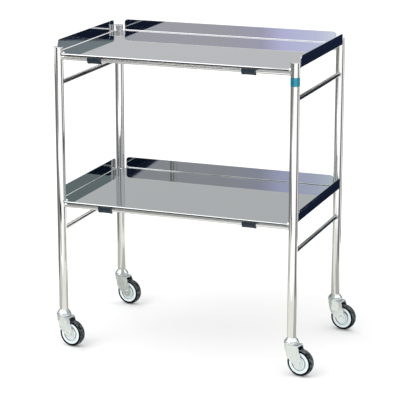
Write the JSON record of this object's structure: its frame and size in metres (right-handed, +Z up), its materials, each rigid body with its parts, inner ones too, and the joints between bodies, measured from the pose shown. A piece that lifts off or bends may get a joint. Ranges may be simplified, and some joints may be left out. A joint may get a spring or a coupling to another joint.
{
  "type": "surgical instrument table",
  "caption": "Two-shelf tubular instrument trolley: round legs, thin rails, lift-off sheet trays with low upstands, swivel castors.",
  "frame": {"origin": "on the floor, midway between the four legs", "axes": "+Z up, +X along the long side to the right, +Y to the rear, where the trays' long upstand is"},
  "size_m": [0.7664, 0.4573, 0.873],
  "materials": {
    "chromed_tube": "polished",
    "cap_metal": "satin",
    "stainless_sheet": "polished",
    "black_plastic": "satin",
    "socket_plastic": "matte",
    "teal_band": "gloss",
    "zinc_plated_steel": "bright zinc",
    "bearing_steel": "polished",
    "grey_plastic": "satin",
    "black_rubber": "matte"
  },
  "bodies": {
    "frame": {"colour_band": "teal_band", "leg_front_left": "chromed_tube", "leg_cap_front_left": "cap_metal", "castor_socket_front_left": "socket_plastic", "castor_stem_front_left": "zinc_plated_steel", "castor_dust_cap_front_left": "zinc_plated_steel", "leg_front_right": "chromed_tube", "leg_cap_front_right": "cap_metal", "castor_socket_front_right": "socket_plastic", "castor_stem_front_right": "zinc_plated_steel", "castor_dust_cap_front_right": "zinc_plated_steel", "leg_rear_left": "chromed_tube", "leg_cap_rear_left": "cap_metal", "castor_socket_rear_left": "socket_plastic", "castor_stem_rear_left": "zinc_plated_steel", "castor_dust_cap_rear_left": "zinc_plated_steel", "leg_rear_right": "chromed_tube", "leg_cap_rear_right": "cap_metal", "castor_socket_rear_right": "socket_plastic", "castor_stem_rear_right": "zinc_plated_steel", "castor_dust_cap_rear_right": "zinc_plated_steel", "upper_front_rail": "chromed_tube", "upper_rear_rail": "chromed_tube", "upper_left_rail": "chromed_tube", "upper_right_rail": "chromed_tube", "upper_front_clips": "black_plastic", "upper_rear_clips": "black_plastic", "lower_front_rail": "chromed_tube", "lower_rear_rail": "chromed_tube", "lower_left_rail": "chromed_tube", "lower_right_rail": "chromed_tube", "lower_front_clips": "black_plastic", "lower_rear_clips": "black_plastic"},
    "upper_shelf": {"upper_tray": "stainless_sheet"},
    "lower_shelf": {"lower_tray": "stainless_sheet"},
    "castor_front_left": {"castor_fork_front_left": "zinc_plated_steel", "castor_balls_front_left": "bearing_steel", "castor_axle_front_left": "zinc_plated_steel", "castor_sleeve_front_left": "bearing_steel"},
    "wheel_front_left": {"wheel_core_front_left": "grey_plastic", "tyre_front_left": "black_rubber"},
    "castor_front_right": {"castor_fork_front_right": "zinc_plated_steel", "castor_balls_front_right": "bearing_steel", "castor_axle_front_right": "zinc_plated_steel", "castor_sleeve_front_right": "bearing_steel"},
    "wheel_front_right": {"wheel_core_front_right": "grey_plastic", "tyre_front_right": "black_rubber"},
    "castor_rear_left": {"castor_fork_rear_left": "zinc_plated_steel", "castor_balls_rear_left": "bearing_steel", "castor_axle_rear_left": "zinc_plated_steel", "castor_sleeve_rear_left": "bearing_steel"},
    "wheel_rear_left": {"wheel_core_rear_left": "grey_plastic", "tyre_rear_left": "black_rubber"},
    "castor_rear_right": {"castor_fork_rear_right": "zinc_plated_steel", "castor_balls_rear_right": "bearing_steel", "castor_axle_rear_right": "zinc_plated_steel", "castor_sleeve_rear_right": "bearing_steel"},
    "wheel_rear_right": {"wheel_core_rear_right": "grey_plastic", "tyre_rear_right": "black_rubber"}
  },
  "joints": [
    {"name": "upper_tray_lift", "type": "slide", "parent": "frame", "child": "upper_shelf", "axis": [0, 0, 1], "range_m": [0, 0.15]},
    {"name": "lower_tray_lift", "type": "slide", "parent": "frame", "child": "lower_shelf", "axis": [0, 0, 1], "range_m": [0, 0.25]},
    {"name": "castor_swivel_front_left", "type": "hinge", "parent": "frame", "child": "castor_front_left", "pos_m": [-0.34, -0.206, 0.09], "axis": [0, 0, 1], "continuous": true},
    {"name": "wheel_spin_front_left", "type": "hinge", "parent": "castor_front_left", "child": "wheel_front_left", "pos_m": [-0.31163, -0.21203, 0.0375], "axis": [0.2079, 0.9781, 0], "continuous": true},
    {"name": "castor_swivel_front_right", "type": "hinge", "parent": "frame", "child": "castor_front_right", "pos_m": [0.34, -0.206, 0.09], "axis": [0, 0, 1], "continuous": true},
    {"name": "wheel_spin_front_right", "type": "hinge", "parent": "castor_front_right", "child": "wheel_front_right", "pos_m": [0.36837, -0.21203, 0.0375], "axis": [0.2079, 0.9781, 0], "continuous": true},
    {"name": "castor_swivel_rear_left", "type": "hinge", "parent": "frame", "child": "castor_rear_left", "pos_m": [-0.34, 0.206, 0.09], "axis": [0, 0, 1], "continuous": true},
    {"name": "wheel_spin_rear_left", "type": "hinge", "parent": "castor_rear_left", "child": "wheel_rear_left", "pos_m": [-0.31163, 0.19997, 0.0375], "axis": [0.2079, 0.9781, 0], "continuous": true},
    {"name": "castor_swivel_rear_right", "type": "hinge", "parent": "frame", "child": "castor_rear_right", "pos_m": [0.34, 0.206, 0.09], "axis": [0, 0, 1], "continuous": true},
    {"name": "wheel_spin_rear_right", "type": "hinge", "parent": "castor_rear_right", "child": "wheel_rear_right", "pos_m": [0.36837, 0.19997, 0.0375], "axis": [0.2079, 0.9781, 0], "continuous": true}
  ]
}
